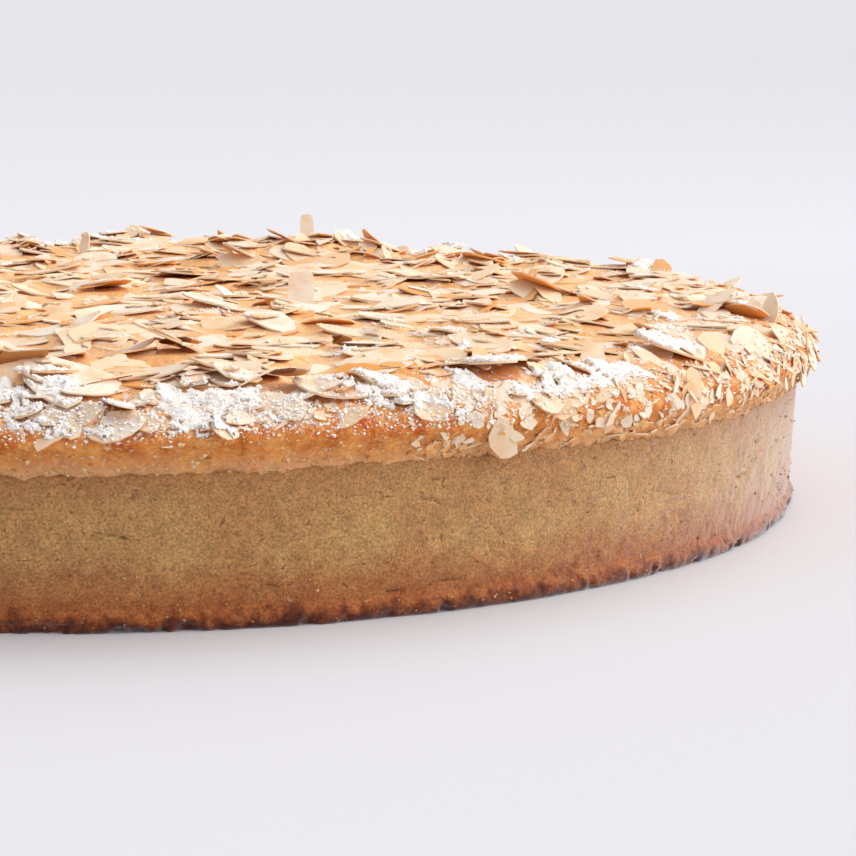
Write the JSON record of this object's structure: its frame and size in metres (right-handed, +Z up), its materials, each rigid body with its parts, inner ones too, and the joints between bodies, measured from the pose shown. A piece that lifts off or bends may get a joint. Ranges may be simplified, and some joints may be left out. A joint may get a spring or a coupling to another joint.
{
  "type": "apple tart",
  "caption": "Whole round apple tart: a straight-sided shortcrust case under a golden domed top that laps over the rim, strewn with flaked almonds and icing sugar.",
  "frame": {"origin": "middle of the flat foot, on the surface the tart stands on", "axes": "+Z up along the tart's axis; -Y towards the viewer of the picture"},
  "size_m": [0.2687, 0.2687, 0.0447],
  "materials": {
    "shortcrust": "matte",
    "golden_top": "satin"
  },
  "bodies": {
    "root": {"pastry_case": "shortcrust", "almond_top": "golden_top"}
  },
  "joints": []
}
